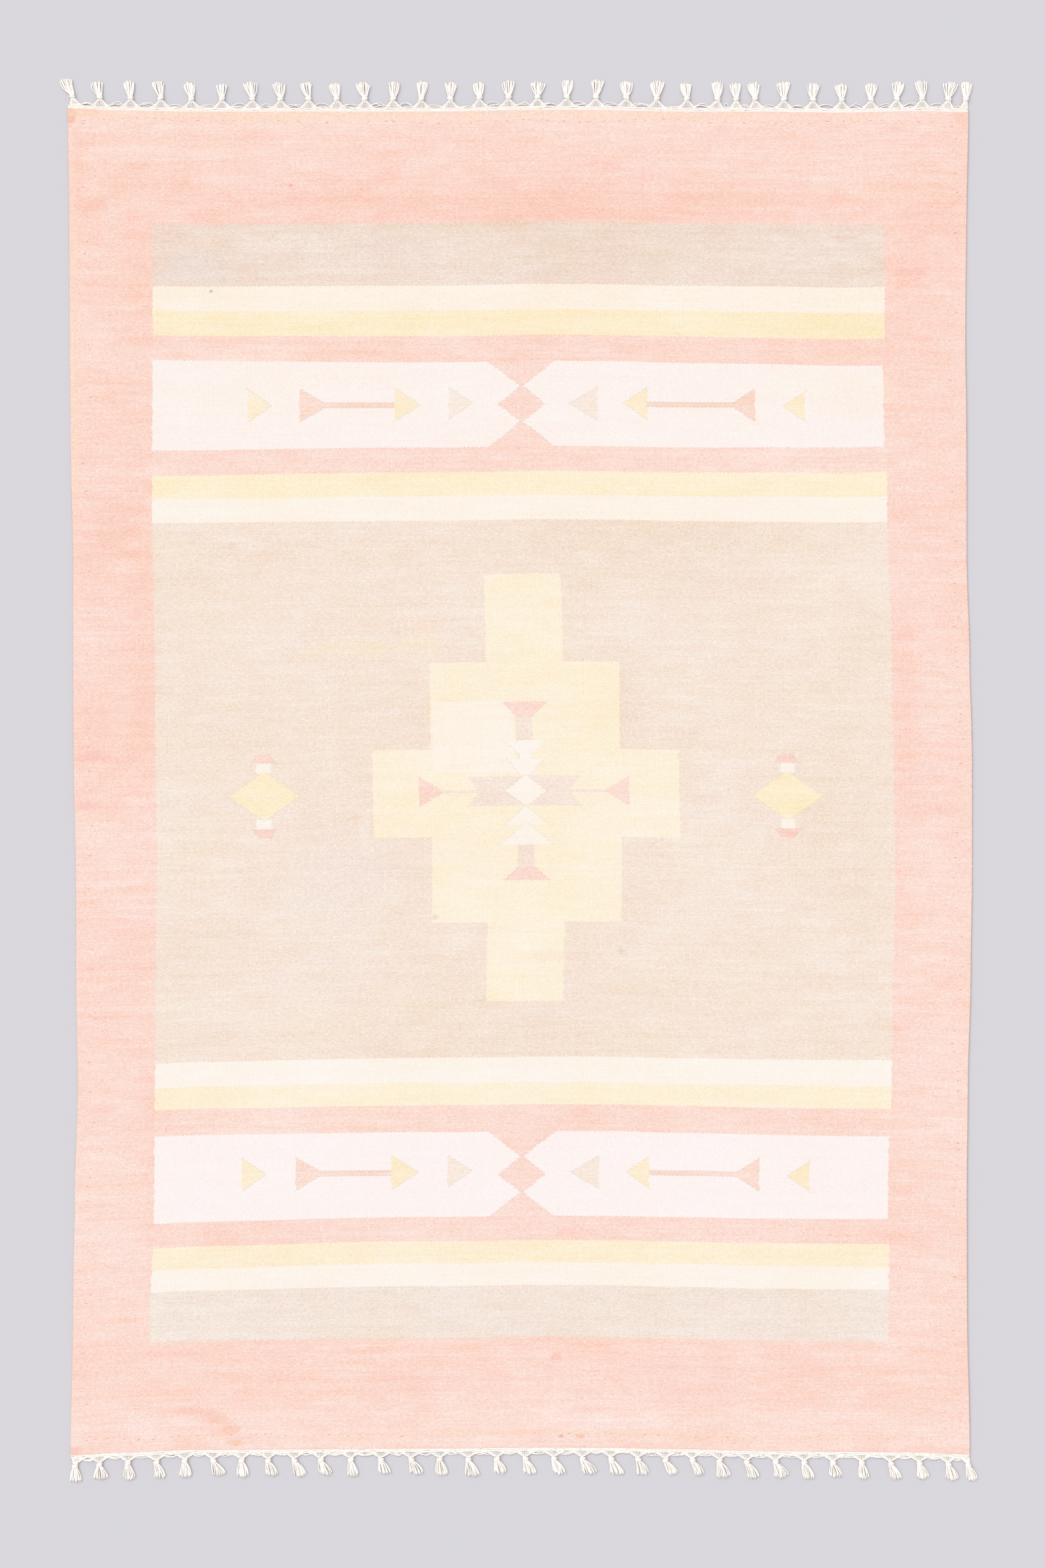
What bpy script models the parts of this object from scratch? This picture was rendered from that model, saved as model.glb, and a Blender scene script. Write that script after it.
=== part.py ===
"""Kilim rug: a flat-woven cotton cloth whose warp ends are knotted into a fringe at both ends.

Metres, +Z up. The rug lies flat, with its length along Y and its underside at Z = 0. The middle
of its whole outline, fringe included, is at X = Y = 0.
"""

import math
import random
from collections import namedtuple

import bmesh
import bpy
from mathutils import Vector

MM = 0.001

# The cloth, woven to about 4 by 6 feet
CLOTH_WIDTH = 1.220
CLOTH_LENGTH = 1.820
CLOTH_THICKNESS = 0.003
SIDE_STEPS = 52
END_STEPS = 64
CLOTH_COLOUR = (0.88, 0.78, 0.70)

# How far each side edge runs outside its straight line, in millimetres down from the top end
Side = namedtuple("Side", "down left right")
SIDES = (
    Side(0, 4.8, -1.8),
    Side(150, 2.8, -4.5),
    Side(300, 2.2, -6.0),
    Side(450, 0.9, -4.5),
    Side(600, -2.3, -4.3),
    Side(740, -2.4, -0.3),
    Side(880, -3.2, 3.1),
    Side(1030, -6.2, 3.2),
    Side(1170, -6.5, 1.2),
    Side(1320, -8.8, -2.6),
    Side(1460, -4.7, -4.2),
    Side(1610, -2.4, -3.8),
    Side(1820, 1.0, 0.0),
)

# How far each end edge runs outside its straight line, in millimetres across from the left corner
End = namedtuple("End", "across top bottom")
ENDS = (
    End(0, 4.0, 6.6),
    End(70, 1.6, 2.7),
    End(175, 0.0, -0.9),
    End(500, 0.2, -2.7),
    End(640, 2.7, -4.0),
    End(720, 2.2, -3.8),
    End(830, 0.0, -1.8),
    End(940, 0.0, 0.8),
    End(1050, -1.4, 1.8),
    End(1150, 0.8, 2.7),
    End(1220, -0.6, 5.4),
)

# The fringe: a narrow header parted from the cloth, and the tassels knotted out of it
HEADER_GAP = 0.0003
HEADER_DEPTH = 0.003
HEADER_THICKNESS = 0.0024
LOCKS = 4
WEB_GAP = 0.0016
FRINGE_COLOUR = (0.90, 0.86, 0.80)

# Where some of the knots lie, in millimetres from the middle of the cloth, and how far the tips
# of their tufts lean to the right. The tassels between two rows are evenly spaced.
Knot = namedtuple("Knot", "number place lean")
TOP_KNOTS = (
    Knot(1, -608, -9),
    Knot(2, -571, -3),
    Knot(7, -364, -2),
    Knot(13, -135, 1),
    Knot(19, 102, 1),
    Knot(23, 267, -1),
    Knot(25, 318, 2),
    Knot(29, 475, 2),
    Knot(32, 580, 0),
    Knot(33, 604, 2),
)
BOTTOM_KNOTS = (
    Knot(1, -605, -2),
    Knot(2, -572, 1),
    Knot(7, -379, 5),
    Knot(10, -272, 7),
    Knot(13, -149, 6),
    Knot(20, 122, 8),
    Knot(25, 306, 8),
    Knot(32, 580, 6),
    Knot(33, 607, 2),
)

# The two fringes, in millimetres. A web runs from the header to the neck of its knot.
Fringe = namedtuple("Fringe", "end web tuft knots seed")
FRINGES = (
    Fringe("top", 8.6, 17.0, TOP_KNOTS, 11),
    Fringe("bottom", 4.6, 22.5, BOTTOM_KNOTS, 23),
)

# Sections of a tassel: a share of its web's length from the header, then millimetres past that
Section = namedtuple("Section", "web past width height")
TASSEL_SECTIONS = (
    Section(0.62, 0.0, 17.0, 3.0),
    Section(1.0, 0.0, 5.2, 3.8),
    Section(1.0, 2.4, 8.4, 5.8),
    Section(1.0, 5.8, 8.6, 6.0),
    Section(1.0, 8.2, 6.8, 3.2),
)
SECTION_ARC = math.radians(68)
KNOT_LENGTH = TASSEL_SECTIONS[-1].past

# Sections of a lock of yarns: its share of the tuft's length, and the pitch from lock to lock
Lock = namedtuple("Lock", "share pitch width height")
LOCK_SECTIONS = (
    Lock(0.5, 3.2, 2.7, 2.2),
    Lock(1.0, 5.0, 3.2, 1.3),
)
LENGTH_SPREAD = 2.2
TIP_SPREAD = 0.5


def clear_scene():
    for obj in list(bpy.data.objects):
        bpy.data.objects.remove(obj, do_unlink=True)


def cotton(name, colour):
    material = bpy.data.materials.new(name)
    material.use_nodes = True
    shader = material.node_tree.nodes["Principled BSDF"]
    shader.inputs["Base Color"].default_value = (*colour, 1.0)
    shader.inputs["Roughness"].default_value = 0.9
    shader.inputs["Metallic"].default_value = 0.0
    return material


def read_table(table, place, column, eased=True):
    """A column's value at a place between two rows of a table, whose first column is the place."""
    for row, following in zip(table, table[1:]):
        if place <= following[0]:
            break
    share = (place - row[0]) / (following[0] - row[0])
    if eased:
        share = share * share * (3 - 2 * share)
    start = getattr(row, column)
    return start + (getattr(following, column) - start) * share


def side_x(share, side):
    """X of the left or right edge of the cloth, at a share of its length down from the top."""
    half = CLOTH_WIDTH / 2 + read_table(SIDES, share * SIDES[-1].down, side) * MM
    return half if side == "right" else -half


def end_y(share, end):
    """Y of the top or bottom edge of the cloth, at a share of its width from the left."""
    half = CLOTH_LENGTH / 2 + read_table(ENDS, share * ENDS[-1].across, end) * MM
    return half if end == "top" else -half


def end_corners(end):
    """X of the left and right corners at one end of the cloth."""
    down = 0 if end == "top" else 1
    return side_x(down, "left"), side_x(down, "right")


def end_edge(end):
    """Points along an end of the cloth, from its left corner to its right one."""
    left, right = end_corners(end)
    shares = [step / END_STEPS for step in range(END_STEPS + 1)]
    return [(left + (right - left) * share, end_y(share, end)) for share in shares]


def side_edge(side):
    """Points along a side of the cloth, between its top corner and its bottom one."""
    across = 0 if side == "left" else 1
    top, bottom = end_y(across, "top"), end_y(across, "bottom")
    shares = [step / SIDE_STEPS for step in range(1, SIDE_STEPS)]
    return [(side_x(share, side), top + (bottom - top) * share) for share in shares]


def woven_cloth():
    """The flat cloth: its outline as a filled curve, extruded to the thickness of the weave."""
    outline = end_edge("top") + side_edge("right")
    outline += end_edge("bottom")[::-1] + side_edge("left")[::-1]
    curve = bpy.data.curves.new("woven_cloth", "CURVE")
    curve.dimensions = "2D"
    curve.fill_mode = "BOTH"
    curve.extrude = CLOTH_THICKNESS / 2
    curve.materials.append(cotton("patterned_cotton_weave", CLOTH_COLOUR))
    spline = curve.splines.new("POLY")
    spline.points.add(len(outline) - 1)
    for point, (x, y) in zip(spline.points, outline):
        point.co = (x, y, 0, 1)
    spline.use_cyclic_u = True
    cloth = bpy.data.objects.new("woven_cloth", curve)
    cloth.location.z = CLOTH_THICKNESS / 2
    return cloth


def drawn_out(mesh, faces):
    """Extrudes some neighbouring faces together. Returns the new ones in their place."""
    edges = dict.fromkeys(edge for face in faces for edge in face.edges)
    drawn = bmesh.ops.extrude_face_region(mesh, geom=[*faces, *edges])["geom"]
    return [element for element in drawn if isinstance(element, bmesh.types.BMFace)]


def columns(faces):
    """The lower and upper vertex on each upright line of some faces, from left to right."""
    verts = {vert for face in faces for vert in face.verts}
    from_left = sorted(verts, key=lambda vert: vert.co.x)
    pairs = zip(from_left[::2], from_left[1::2])
    return [sorted(pair, key=lambda vert: vert.co.z) for pair in pairs]


def add_header(mesh, end, knots):
    """The header along an end of the cloth. Returns the faces at the foot of each tassel."""
    out = 1 if end == "top" else -1
    left, right = end_corners(end)
    middles = [(knot + following) / 2 for knot, following in zip(knots, knots[1:])]
    starts = [left] + [middle + WEB_GAP / 2 for middle in middles]
    stops = [middle - WEB_GAP / 2 for middle in middles] + [right]
    stations = [
        start + (stop - start) * line / LOCKS
        for start, stop in zip(starts, stops)
        for line in range(LOCKS + 1)
    ]
    bmesh.ops.create_grid(mesh, x_segments=len(stations) - 1, y_segments=1, size=1)
    grid = sorted(mesh.verts, key=lambda vert: (round(vert.co.x, 6), vert.co.y * out))
    for station, inner, outer in zip(stations, grid[::2], grid[1::2]):
        edge = end_y((station - left) / (right - left), end)
        inner.co = (station, edge + HEADER_GAP * out, 0)
        outer.co = (station, edge + (HEADER_GAP + HEADER_DEPTH) * out, 0)
    for face in drawn_out(mesh, mesh.faces[:]):
        for vert in face.verts:
            vert.co.z = HEADER_THICKNESS
    bmesh.ops.recalc_face_normals(mesh, faces=mesh.faces[:])
    wall = [face for face in mesh.faces if face.normal.y * out > 0.9]
    wall.sort(key=lambda face: face.calc_center_median().x)
    return [wall[first:first + LOCKS] for first in range(0, len(wall), LOCKS + 1)]


def add_tassel(mesh, foot, rows, knot, lean, chance):
    """A tassel: its gathered web, its knot, and a tuft of locks that part as they leave the knot."""
    out = 1 if rows.end == "top" else -1
    header = foot[0].calc_center_median().y
    reach = KNOT_LENGTH + rows.tuft
    front = foot
    for section in TASSEL_SECTIONS:
        front = drawn_out(mesh, front)
        middle = knot + lean * section.past / reach * MM
        for line, pair in enumerate(columns(front)):
            turn = SECTION_ARC * (2 * line / LOCKS - 1)
            for vert, up in zip(pair, (-1, 1)):
                vert.co.x = middle + section.width / 2 * math.sin(turn) * MM
                vert.co.y = header + (rows.web * section.web + section.past) * out * MM
                vert.co.z = section.height / 2 * (1 + up * math.cos(turn)) * MM

    lengths = [rows.tuft + chance.uniform(-LENGTH_SPREAD, LENGTH_SPREAD) for _ in front]
    strays = [chance.uniform(-TIP_SPREAD, TIP_SPREAD) for _ in front]
    for section in LOCK_SECTIONS:
        front = bmesh.ops.extrude_discrete_faces(mesh, faces=front)["faces"]
        front.sort(key=lambda face: face.calc_center_median().x)
        for number, (face, length, stray) in enumerate(zip(front, lengths, strays)):
            past = KNOT_LENGTH + length * section.share
            middle = (number - (LOCKS - 1) / 2) * section.pitch + stray * section.share
            middle += lean * past / reach
            for pair, across in zip(columns([face]), (-1, 1)):
                for vert, up in zip(pair, (0, 1)):
                    vert.co.x = knot + (middle + section.width / 2 * across) * MM
                    vert.co.y = header + (rows.web + past) * out * MM
                    vert.co.z = section.height * up * MM


def fringe(rows):
    """All the tassels of one end of the cloth, on their header."""
    name = "fringe_" + rows.end
    numbers = range(1, rows.knots[-1].number + 1)
    knots = [read_table(rows.knots, number, "place", eased=False) * MM for number in numbers]
    leans = [read_table(rows.knots, number, "lean") for number in numbers]
    chance = random.Random(rows.seed)
    mesh = bmesh.new()
    feet = add_header(mesh, rows.end, knots)
    for foot, knot, lean in zip(feet, knots, leans):
        add_tassel(mesh, foot, rows, knot, lean, chance)
    bmesh.ops.recalc_face_normals(mesh, faces=mesh.faces[:])
    data = bpy.data.meshes.new(name)
    mesh.to_mesh(data)
    mesh.free()
    data.materials.append(cotton(name + "_cotton", FRINGE_COLOUR))
    data.shade_smooth()
    data.set_sharp_from_angle(angle=math.radians(60))
    return bpy.data.objects.new(name, data)


def centre_on_origin(rug, pieces):
    """Moves the rug's empty so that the middle of the whole outline is at X = Y = 0."""
    bpy.context.view_layer.update()
    box = [piece.matrix_world @ Vector(corner) for piece in pieces for corner in piece.bound_box]
    for axis in (0, 1):
        places = [corner[axis] for corner in box]
        rug.location[axis] = -(min(places) + max(places)) / 2


clear_scene()
rug = bpy.data.objects.new("rug", None)
pieces = [woven_cloth()] + [fringe(rows) for rows in FRINGES]
collection = bpy.data.collections.new("kilim_rug")
bpy.context.scene.collection.children.link(collection)
collection.objects.link(rug)
for piece in pieces:
    collection.objects.link(piece)
    piece.parent = rug
centre_on_origin(rug, pieces)
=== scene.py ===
"""The looks of a flat-woven cotton kilim rug, about 4 by 6 feet, lying on a pale floor.

Lengths are in millimetres up to the point where a mesh is placed, which is in metres. "Across" is
measured along the wefts from the rug's left side, and "down" along the warps from its top end.
"""

import math
import random

import bmesh
import bpy
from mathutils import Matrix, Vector, noise


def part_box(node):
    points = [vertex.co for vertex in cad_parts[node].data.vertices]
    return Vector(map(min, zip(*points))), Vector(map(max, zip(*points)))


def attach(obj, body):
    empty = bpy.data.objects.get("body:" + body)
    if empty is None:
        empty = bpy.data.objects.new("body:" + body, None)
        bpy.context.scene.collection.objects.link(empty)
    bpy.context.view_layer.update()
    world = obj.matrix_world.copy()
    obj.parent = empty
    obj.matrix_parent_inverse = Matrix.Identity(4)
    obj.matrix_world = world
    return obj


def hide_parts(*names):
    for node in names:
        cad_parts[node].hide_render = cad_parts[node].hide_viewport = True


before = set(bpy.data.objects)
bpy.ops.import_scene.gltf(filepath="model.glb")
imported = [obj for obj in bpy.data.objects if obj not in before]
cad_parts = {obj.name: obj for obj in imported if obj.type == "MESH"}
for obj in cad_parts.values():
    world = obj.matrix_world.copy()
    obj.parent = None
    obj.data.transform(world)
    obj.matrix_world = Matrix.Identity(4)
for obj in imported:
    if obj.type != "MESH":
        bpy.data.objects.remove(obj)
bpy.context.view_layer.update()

# Woven cloth
# The rug itself is one flat web of cotton, woven in one piece on a hand loom. Dyed wefts are
# beaten down over undyed warps until only the wefts show, in ribs that run along its length.
# Where two colours meet, each weft turns back round a warp, so that slants climb in small steps.

MM = 0.001
CLOTH_WIDTH = 1220
CLOTH_LENGTH = 1820
CLOTH_THICKNESS = 3.0
RIBS = 432
RIB_PITCH = CLOTH_WIDTH / RIBS
RIB_RELIEF = 0.22

# The mesh has three lines along each rib, of which the smooth underside keeps every sixth
LINES_A_RIB = 3
UNDERSIDE_LINES = 6
RIM_HEIGHT = 1.5
END_ROUNDING = 1.6
ROWS = 48
CREASE_DOWN = 928
CREASE_SPREAD = 5
CREASE_HEIGHT = 0.5
WAVE_HEIGHT = 1.1
WAVE_ACROSS = 190
WAVE_DOWN = 240
WAVE_FADE = 70
WAVE_SEED = 3.7
WAVE_SPREAD = 0.15

# Down the rug, how far its left and right sides stray outwards from a straight line
SIDE_STRAY = (
    (0, 4.8, -1.8),
    (150, 2.8, -4.5),
    (300, 2.2, -6.0),
    (450, 0.9, -4.5),
    (600, -2.3, -4.3),
    (740, -2.4, -0.3),
    (880, -3.2, 3.1),
    (1030, -6.2, 3.2),
    (1170, -6.5, 1.2),
    (1320, -8.8, -2.6),
    (1460, -4.7, -4.2),
    (1610, -2.4, -3.8),
    (1820, 1.0, 0.0),
)

# Across the rug, how far its top and bottom ends stray outwards from a straight line
END_STRAY = (
    (0, 4.0, 6.6),
    (70, 1.6, 2.7),
    (175, 0.0, -0.9),
    (500, 0.2, -2.7),
    (640, 2.7, -4.0),
    (720, 2.2, -3.8),
    (830, 0.0, -1.8),
    (940, 0.0, 0.8),
    (1050, -1.4, 1.8),
    (1150, 0.8, 2.7),
    (1220, -0.6, 5.4),
)

# The field inside the pink border keeps to the same warps all the way down. These are the places
# of its left and right sides on the floor, from the middle of the rug.
FIELD_LEFT = 109
FIELD_RIGHT = 1109
FIELD_SIDES = (
    (0, -503.0, 491.0),
    (300, -500.5, 493.0),
    (540, -501.5, 496.5),
    (760, -497.5, 503.0),
    (1040, -494.8, 507.5),
    (1200, -497.0, 504.0),
    (1480, -498.5, 500.5),
    (1640, -504.5, 498.0),
    (1820, -504.0, 497.0),
)

# Down the rug, how far the wefts sag at its left and right, fading out towards its middle
WEFT_SAG = (
    (0, 0.0, 0.0),
    (152, 3.4, 2.0),
    (236, 1.6, 0.5),
    (306, -0.8, 3.0),
    (345, -4.0, 3.8),
    (400, 0.5, 0.0),
    (458, 4.6, -3.4),
    (523, 4.6, -1.8),
    (556, 2.6, 0.2),
    (1286, 6.6, -0.4),
    (1352, 4.8, 0.6),
    (1390, 3.2, 3.2),
    (1445, 5.0, 0.5),
    (1503, 8.2, -1.8),
    (1566, 7.6, 0.6),
    (1670, 3.6, 0.0),
    (1820, 0.0, 0.0),
)
SAG_REACH = 490


def smooth(share):
    """A share from 0 to 1 that starts and stops gently."""
    return share * share * (3 - 2 * share)


def between_rows(rows, place, column, ease=smooth):
    """A column of a table at a place between two of its rows."""
    for row, following in zip(rows, rows[1:]):
        if place <= following[0]:
            break
    share = ease((place - row[0]) / (following[0] - row[0]))
    return row[column] + (following[column] - row[column]) * share


# The middle of the whole outline, fringe included, is at the frame's origin
cloth_low, cloth_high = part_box("woven_cloth")
widest = [max(row[side] for row in SIDE_STRAY) for side in (1, 2)]
longest = [max(row[end] for row in END_STRAY) for end in (1, 2)]
SHIFT_X = (cloth_low.x + cloth_high.x) / 2 / MM - (widest[1] - widest[0]) / 2
SHIFT_Y = (cloth_low.y + cloth_high.y) / 2 / MM - (longest[0] - longest[1]) / 2


def row_corners(down):
    """The places of a row's left side, the field's two sides and its right side."""
    left = -CLOTH_WIDTH / 2 - between_rows(SIDE_STRAY, down, 1)
    right = CLOTH_WIDTH / 2 + between_rows(SIDE_STRAY, down, 2)
    inner = [between_rows(FIELD_SIDES, down, column) for column in (1, 2)]
    return [left + SHIFT_X, inner[0] + SHIFT_X, inner[1] + SHIFT_X, right + SHIFT_X]


def end_place(across, end):
    """How far up the floor the top or bottom end of the cloth lies, at a place across it."""
    stray = between_rows(END_STRAY, across, 1 if end == "top" else 2)
    return SHIFT_Y + (CLOTH_LENGTH / 2 + stray) * (1 if end == "top" else -1)


def sag(across, down):
    """How far a weft sags below its line."""
    share = max(0.0, 1 - min(across, CLOTH_WIDTH - across) / SAG_REACH)
    column = 1 if across < CLOTH_WIDTH / 2 else 2
    return between_rows(WEFT_SAG, down, column) * smooth(share)


def lift(across, down):
    """How far the cloth stands off the floor where it waves."""
    from_end = min(down, CLOTH_LENGTH - down)
    fade = min(1.0, from_end / WAVE_FADE)
    wave = noise.noise(Vector((across / WAVE_ACROSS, down / WAVE_DOWN, WAVE_SEED)))
    return WAVE_HEIGHT * max(0.0, wave + WAVE_SPREAD) * smooth(fade)


def on_floor(across, down):
    """The place of a point of the cloth's underside."""
    stations = (0, FIELD_LEFT, FIELD_RIGHT, CLOTH_WIDTH)
    corners = row_corners(down)
    part = 0 if across < FIELD_LEFT else 1 if across < FIELD_RIGHT else 2
    share = (across - stations[part]) / (stations[part + 1] - stations[part])
    x = corners[part] + (corners[part + 1] - corners[part]) * share
    top = end_place(across, "top")
    y = top + (end_place(across, "bottom") - top) * down / CLOTH_LENGTH - sag(across, down)
    return x, y, lift(across, down) + (CREASE_HEIGHT if down == CREASE_DOWN else 0)


def woven_cloth():
    """The web as a closed mesh: ribs along its face, a smooth underside and a rounded rim."""
    downs = [CLOTH_LENGTH * step / ROWS for step in range(ROWS + 1)]
    for rounding in (END_ROUNDING, 2 * END_ROUNDING):
        downs += [rounding, CLOTH_LENGTH - rounding]
    downs += [CREASE_DOWN + CREASE_SPREAD * step for step in (-2, -1, 0, 1, 2)]
    downs = sorted(downs)
    lines = RIBS * LINES_A_RIB
    acrosses = [CLOTH_WIDTH * line / lines for line in range(lines + 1)]

    mesh = bmesh.new()
    bmesh.ops.create_grid(mesh, x_segments=lines, y_segments=len(downs) - 1, size=1)
    line_of = mesh.verts.layers.int.new("line")
    row_of = mesh.verts.layers.int.new("row")
    mesh.verts.ensure_lookup_table()
    for number, vert in enumerate(mesh.verts):
        row, line = divmod(number, lines + 1)
        vert[line_of], vert[row_of] = line, row
        vert.co = Vector(on_floor(acrosses[line], downs[row])) * MM

    underside = set(mesh.verts)
    bmesh.ops.extrude_face_region(mesh, geom=mesh.faces[:])
    for vert in mesh.verts:
        if vert in underside:
            continue
        line, row = vert[line_of], vert[row_of]
        on_rim = line in (0, lines) or row in (0, len(downs) - 1)
        between_ribs = line % LINES_A_RIB == 0
        height = CLOTH_THICKNESS - (RIB_RELIEF if between_ribs else 0)
        vert.co.z += (RIM_HEIGHT if on_rim else height) * MM

    spare = [
        edge
        for edge in mesh.edges
        if edge.verts[0] in underside
        and edge.verts[1] in underside
        and edge.verts[0][line_of] == edge.verts[1][line_of]
        and edge.verts[0][line_of] % UNDERSIDE_LINES
    ]
    bmesh.ops.dissolve_edges(mesh, edges=spare, use_verts=True)
    bmesh.ops.recalc_face_normals(mesh, faces=mesh.faces[:])

    # The map gives each point its place in the weave. The export bakes through a map of this name.
    woven = mesh.loops.layers.uv.new("OFBake")
    for face in mesh.faces:
        face.smooth = True
        for loop in face.loops:
            line, row = loop.vert[line_of], loop.vert[row_of]
            loop[woven].uv = (acrosses[line] / CLOTH_WIDTH, 1 - downs[row] / CLOTH_LENGTH)
    data = bpy.data.meshes.new("kilim_cloth")
    mesh.to_mesh(data)
    mesh.free()
    return bpy.data.objects.new("kilim_cloth", data)


cloth = woven_cloth()
bpy.context.scene.collection.objects.link(cloth)

# The dyes, as the colour that each leaves of the white cotton's
WHITE_COTTON = "EDECEC"
PINK = "FDDCCE"
PALE_PINK = "FDE0D3"
FIELD_GREY = "F7E7D7"
MEDALLION_YELLOW = "FEF3DB"
WARM_WHITE = "FEF7EC"
LAVENDER = "F8E8DA"
CORAL = "FDE0D3"
ARROW_PINK = "FCDECE"
ARROW_YELLOW = "FEEFD0"
ARROW_GREY = "FAECDE"
SIDE_YELLOW = "FEF0CE"

# The stripes from the top end down: where each begins, and its colour. The weaver's lots of each
# dye differ a little, and the lower ones are paler.
STRIPES = (
    (153.7, "F3E1D2"),
    (239.0, "FEF4E4"),
    (273.4, "FEF0CE"),
    (307.8, "FDDED0"),
    (343.4, "FEF5EE"),
    (458.9, PALE_PINK),
    (492.8, "FEF2D4"),
    (525.4, "FEF6E9"),
    (558.5, FIELD_GREY),
    (1288.0, "FEF7EC"),
    (1322.3, "FEF3D9"),
    (1352.7, PALE_PINK),
    (1389.0, "FEF6F2"),
    (1504.0, "FDDED1"),
    (1537.2, "FEF1D4"),
    (1567.4, "FEF6EA"),
    (1598.2, "F5E7DA"),
    (1668.4, PINK),
)

# The first and last wefts are undyed: where the dyed ones begin and stop
UNDYED = "FBF5F0"
DYED_FROM = 2.0
DYED_TO = 1818.5

# Where dye took more deeply or less: place, reach across and down, and change in its depth
DYE_PATCHES = (
    (610, 128, 700, 62, 0.24),
    (1150, 150, 130, 110, 0.12),
    (1160, 300, 80, 200, 0.06),
    (96, 720, 34, 380, 0.16),
    (40, 700, 60, 260, 0.06),
    (60, 1030, 100, 160, -0.06),
    (50, 1480, 110, 230, -0.16),
    (50, 1705, 110, 90, 0.08),
    (1165, 730, 110, 190, -0.12),
    (1165, 1040, 100, 190, -0.10),
    (1165, 1290, 100, 190, -0.14),
    (1160, 1600, 90, 160, -0.06),
    (610, 14, 1400, 26, -0.08),
    (610, 1786, 1400, 50, -0.20),
    (610, 570, 620, 66, 0.12),
    (1060, 900, 100, 330, 0.10),
    (300, 1050, 170, 150, -0.06),
    (880, 780, 120, 170, -0.05),
    (880, 1110, 150, 140, -0.06),
    (610, 1270, 560, 50, 0.07),
    (611, 765, 190, 44, 0.10),
    (735, 800, 60, 70, 0.12),
    (700, 905, 60, 40, -0.14),
    (480, 1060, 60, 60, 0.08),
    (610, 640, 70, 40, 0.10),
    (100, 168, 70, 46, 0.14),
    (130, 508, 70, 17, 0.26),
    (98, 260, 26, 120, 0.12),
    (270, 604, 150, 26, 0.20),
    (1130, 810, 26, 170, 0.18),
    (24, 150, 40, 60, 0.16),
    (12, 69, 18, 60, 0.16),
    (66, 562, 46, 60, 0.20),
    (52, 951, 44, 26, 0.16),
    (44, 1789, 46, 34, 0.18),
    (1136, 215, 34, 34, 0.16),
    (205, 140, 60, 18, 0.15),
    (783, 328, 70, 16, 0.20),
    (120, 83, 70, 34, 0.14),
    (540, 1242, 80, 30, -0.16),
    (1045, 473, 120, 17, 0.18),
    (285, 1672, 50, 8, 0.20),
    (1045, 1794, 110, 26, 0.14),
    (690, 158, 70, 12, -0.20),
    (1105, 820, 30, 40, 0.12),
)

# Stains and faded places from years on a floor: place, reach across and down, colour, strength
STAINS = (
    (1142, 220, 30, 14, "FAC4B8", 0.50),
    (18, 873, 34, 12, "FAC0B6", 0.55),
    (14, 938, 26, 9, "FAC4B8", 0.45),
    (22, 520, 40, 10, "FAC6BC", 0.30),
    (172, 1765, 36, 9, "FCCAB2", 0.40),
    (200, 1778, 28, 11, "FBC6AC", 0.50),
    (218, 1791, 20, 12, "FAC2A6", 0.50),
    (226, 1809, 14, 7, "F9BE98", 0.50),
    (393, 972, 16, 30, "FCF2E6", 0.45),
    (4, 11, 9, 17, "F8B494", 0.80),
    (18, 6, 34, 8, "FAC6A8", 0.50),
    (28, 46, 22, 10, "FACDBC", 0.40),
    (30, 130, 50, 7, "FAC9B6", 0.40),
    (170, 215, 80, 34, "ECE1DB", 0.45),
    (260, 8, 420, 12, "FEE2C8", 0.55),
    (800, 10, 560, 12, "FEE2CB", 0.50),
    (640, 1798, 620, 9, "FDDCC4", 0.40),
    (6, 1812, 14, 8, "F9C0AC", 0.50),
    (1208, 10, 16, 14, "FAC4B0", 0.45),
    (300, 101, 5, 4, "EFA484", 0.65),
    (700, 1679, 64, 7, "FDCBB2", 0.45),
    (540, 1682, 56, 7, "FDCDB4", 0.35),
    (659, 1695, 12, 8, "FBBDAD", 0.45),
    (828, 1733, 100, 50, "FBCDC4", 0.25),
    (694, 1803, 9, 5, "F8B48E", 0.55),
    (667, 1803, 5, 3, "EE9F8F", 0.60),
    (4, 330, 10, 420, "FEDFC6", 0.45),
    (1062, 170, 36, 4, "EFC3B0", 0.45),
    (742, 1144, 10, 6, "E3CFC6", 0.55),
    (487, 1097, 8, 5, "E6D0C4", 0.50),
    (190, 245, 3.5, 2.5, "C9B4A6", 0.75),
    (380, 730, 80, 20, "FBEBC8", 0.42),
    (470, 722, 40, 26, "FBEBC6", 0.36),
    (430, 700, 110, 10, "FADFCB", 0.30),
    (1180, 948, 70, 11, "FACABC", 0.35),
    (360, 1050, 110, 90, "F3E5E0", 0.40),
    (330, 1190, 90, 60, "F6E8E4", 0.30),
    (180, 640, 70, 24, "F3DCCF", 0.30),
    (900, 640, 120, 16, "F6DCD2", 0.26),
    (1010, 1180, 90, 14, "F6DCCB", 0.28),
    (660, 1150, 60, 12, "F6DACB", 0.22),
    (250, 370, 120, 70, "FDF3E4", 0.35),
    (1060, 380, 90, 50, "FDF2E0", 0.40),
    (420, 190, 90, 30, "EFD9CF", 0.26),
    (880, 200, 100, 26, "F5E3D2", 0.30),
)

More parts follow.
